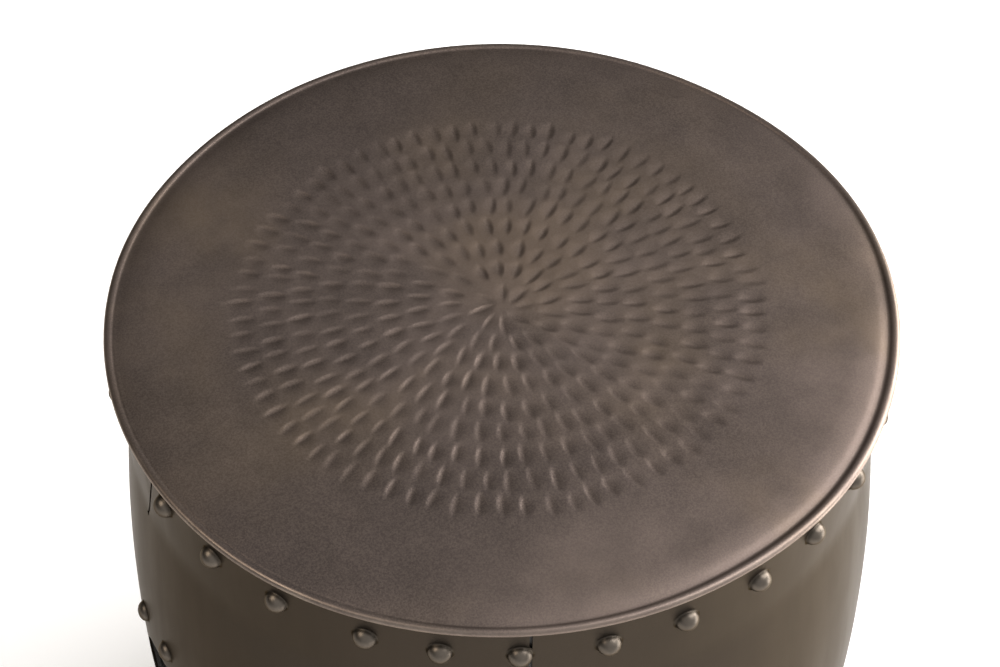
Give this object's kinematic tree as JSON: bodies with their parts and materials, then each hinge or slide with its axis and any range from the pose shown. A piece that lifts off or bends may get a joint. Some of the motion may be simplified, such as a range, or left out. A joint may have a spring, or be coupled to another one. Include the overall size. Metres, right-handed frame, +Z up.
{
  "type": "drum side table",
  "caption": "Round barrel-shaped side table of bronze-finished sheet metal with a hammered top, a rolled rim, domed rivets and round hand holes.",
  "frame": {"origin": "on the floor, under the middle of the drum", "axes": "+Z up along the drum's axis; the two hand holes face -X and +X"},
  "size_m": [0.4114, 0.407, 0.457],
  "materials": {
    "bronze_top": "satin dark bronze lacquer over hammered sheet",
    "bronze_wall": "satin dark bronze lacquer",
    "bronze_rivets": "satin dark bronze lacquer",
    "inner_steel": "dark primer",
    "pads": "matt"
  },
  "bodies": {
    "root": {"top_disc": "bronze_top", "rim_wire": "inner_steel", "top_hoop": "inner_steel", "top_rivets": "bronze_rivets", "shell_right": "bronze_wall", "shell_left": "bronze_wall", "handhole_ring_right": "inner_steel", "handhole_ring_left": "inner_steel", "handhole_rivets_right": "bronze_rivets", "handhole_rivets_left": "bronze_rivets", "base_hoop": "inner_steel", "base_rivets": "bronze_rivets", "base_ring": "bronze_wall", "base_wire": "inner_steel", "foot_pad_1": "pads", "foot_pad_2": "pads", "foot_pad_3": "pads", "foot_pad_4": "pads"}
  },
  "joints": []
}
